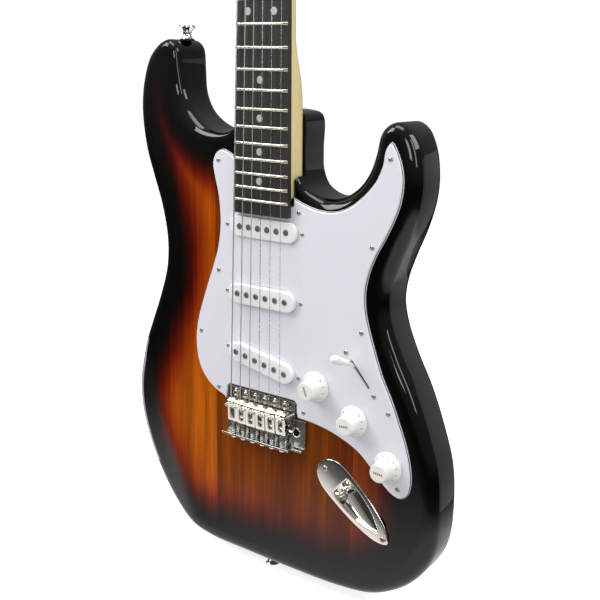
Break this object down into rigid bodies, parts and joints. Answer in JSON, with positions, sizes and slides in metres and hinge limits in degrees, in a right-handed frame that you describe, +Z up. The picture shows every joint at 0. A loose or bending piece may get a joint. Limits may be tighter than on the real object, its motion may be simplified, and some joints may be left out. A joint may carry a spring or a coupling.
{
  "type": "electric guitar",
  "caption": "Upright solid-body electric guitar with a bolt-on neck, white pickguard, single-coil pickups, chrome pivoting spring bridge and a three-tone sunburst finish.",
  "frame": {"origin": "on the centre line at the nut's edge of the fretboard, level with the body's face, where a hanger's yoke holds the neck", "axes": "+Z up the neck towards the headstock, +X towards the treble side, +Y from the body's face to its back"},
  "size_m": [0.3401, 0.072, 1.0029],
  "materials": {
    "sunburst": "gloss three-tone sunburst lacquer over strip-joined timber",
    "maple": "satin clear over pale yellow maple",
    "rosewood": "open-grained, very dark, with pearl-grey dots and nickel frets",
    "bone": "ivory, smooth",
    "guard": "white three-ply laminate, semi-gloss, black middle ply",
    "cover": "white moulded plastic",
    "coil": "wound coil with grey-olive magnet poles",
    "chrome": "bright chrome plate",
    "steel": "plain steel",
    "string": "nickel-plated steel strings, the thick three wound"
  },
  "bodies": {
    "guitar": {"back_cover": "guard", "body": "sunburst", "bridge_pickup_coil": "coil", "bridge_pickup_cover": "cover", "fretboard": "rosewood", "jack_plate": "chrome", "lower_strap_button": "chrome", "middle_pickup_coil": "coil", "middle_pickup_cover": "cover", "middle_tone_pot": "steel", "neck": "maple", "neck_pickup_coil": "coil", "neck_pickup_cover": "cover", "neck_plate": "chrome", "neck_tone_pot": "steel", "nut": "bone", "output_jack": "steel", "pickguard": "guard", "selector_switch": "steel", "spring_claw": "steel", "string_1": "string", "string_2": "string", "string_3": "string", "string_4": "string", "string_5": "string", "string_6": "string", "string_tree": "chrome", "tremolo_spring_1": "steel", "tremolo_spring_2": "steel", "tremolo_spring_3": "steel", "truss_rod": "steel", "tuner_tray": "chrome", "upper_strap_button": "chrome", "volume_pot": "steel"},
    "tremolo_bridge": {"bridge_plate": "chrome", "tremolo_block": "steel", "saddle_1": "chrome", "saddle_2": "chrome", "saddle_3": "chrome", "saddle_4": "chrome", "saddle_5": "chrome", "saddle_6": "chrome"},
    "volume_control": {"volume_knob": "cover"},
    "neck_tone_control": {"neck_tone_knob": "cover"},
    "middle_tone_control": {"middle_tone_knob": "cover"},
    "selector": {"switch_lever": "chrome", "switch_tip": "cover"},
    "post_1": {"tuner_post_1": "chrome"},
    "button_1": {"tuner_button_1": "chrome"},
    "post_2": {"tuner_post_2": "chrome"},
    "button_2": {"tuner_button_2": "chrome"},
    "post_3": {"tuner_post_3": "chrome"},
    "button_3": {"tuner_button_3": "chrome"},
    "post_4": {"tuner_post_4": "chrome"},
    "button_4": {"tuner_button_4": "chrome"},
    "post_5": {"tuner_post_5": "chrome"},
    "button_5": {"tuner_button_5": "chrome"},
    "post_6": {"tuner_post_6": "chrome"},
    "button_6": {"tuner_button_6": "chrome"}
  },
  "joints": [
    {"name": "tremolo_pivot", "type": "hinge", "parent": "guitar", "child": "tremolo_bridge", "pos_m": [0, -0.002, -0.6435], "axis": [-1, 0, 0], "range_deg": [0, 8], "stiffness_Nm_per_rad": 8, "springref_deg": -2.86, "deforming": ["tremolo_spring_1", "tremolo_spring_2", "tremolo_spring_3", "string_1", "string_2", "string_3", "string_4", "string_5", "string_6"]},
    {"name": "volume_turn", "type": "hinge", "parent": "guitar", "child": "volume_control", "pos_m": [0.057, -0.0029, -0.619], "axis": [0, -1, 0], "range_deg": [0, 280]},
    {"name": "neck_tone_turn", "type": "hinge", "parent": "guitar", "child": "neck_tone_control", "pos_m": [0.096, -0.0029, -0.6405], "axis": [0, -1, 0], "range_deg": [0, 280]},
    {"name": "middle_tone_turn", "type": "hinge", "parent": "guitar", "child": "middle_tone_control", "pos_m": [0.13, -0.0029, -0.6725], "axis": [0, -1, 0], "range_deg": [0, 280]},
    {"name": "selector_swing", "type": "hinge", "parent": "guitar", "child": "selector", "pos_m": [0.1, 0.015, -0.599], "axis": [0.7524, 0, 0.6587], "range_deg": [0, 58]},
    {"name": "button_turn_1", "type": "hinge", "parent": "guitar", "child": "button_1", "pos_m": [-0.02142, 0.0209, 0.032], "axis": [-0.9615, 0, 0.2747], "continuous": true},
    {"name": "post_turn_1", "type": "hinge", "parent": "guitar", "child": "post_1", "pos_m": [-0.02142, 0, 0.032], "axis": [0, -1, 0], "continuous": true},
    {"name": "button_turn_2", "type": "hinge", "parent": "guitar", "child": "button_2", "pos_m": [-0.0143, 0.0209, 0.0565], "axis": [-0.9615, 0, 0.2747], "continuous": true},
    {"name": "post_turn_2", "type": "hinge", "parent": "guitar", "child": "post_2", "pos_m": [-0.0143, 0, 0.0565], "axis": [0, -1, 0], "continuous": true},
    {"name": "button_turn_3", "type": "hinge", "parent": "guitar", "child": "button_3", "pos_m": [-0.0072, 0.0209, 0.081], "axis": [-0.9615, 0, 0.2747], "continuous": true},
    {"name": "post_turn_3", "type": "hinge", "parent": "guitar", "child": "post_3", "pos_m": [-0.0072, 0, 0.081], "axis": [0, -1, 0], "continuous": true},
    {"name": "button_turn_4", "type": "hinge", "parent": "guitar", "child": "button_4", "pos_m": [-0.0001, 0.0209, 0.1055], "axis": [-0.9615, 0, 0.2747], "continuous": true},
    {"name": "post_turn_4", "type": "hinge", "parent": "guitar", "child": "post_4", "pos_m": [-0.0001, 0, 0.1055], "axis": [0, -1, 0], "continuous": true},
    {"name": "button_turn_5", "type": "hinge", "parent": "guitar", "child": "button_5", "pos_m": [0.00695, 0.0209, 0.13], "axis": [-0.9615, 0, 0.2747], "continuous": true},
    {"name": "post_turn_5", "type": "hinge", "parent": "guitar", "child": "post_5", "pos_m": [0.00695, 0, 0.13], "axis": [0, -1, 0], "continuous": true},
    {"name": "button_turn_6", "type": "hinge", "parent": "guitar", "child": "button_6", "pos_m": [0.014, 0.0209, 0.1545], "axis": [-0.9615, 0, 0.2747], "continuous": true},
    {"name": "post_turn_6", "type": "hinge", "parent": "guitar", "child": "post_6", "pos_m": [0.014, 0, 0.1545], "axis": [0, -1, 0], "continuous": true}
  ],
  "couplings": [
    {"joint": "post_turn_1", "follows": "button_turn_1", "ratio": 0.066667},
    {"joint": "post_turn_2", "follows": "button_turn_2", "ratio": 0.066667},
    {"joint": "post_turn_3", "follows": "button_turn_3", "ratio": 0.066667},
    {"joint": "post_turn_4", "follows": "button_turn_4", "ratio": 0.066667},
    {"joint": "post_turn_5", "follows": "button_turn_5", "ratio": 0.066667},
    {"joint": "post_turn_6", "follows": "button_turn_6", "ratio": 0.066667}
  ]
}
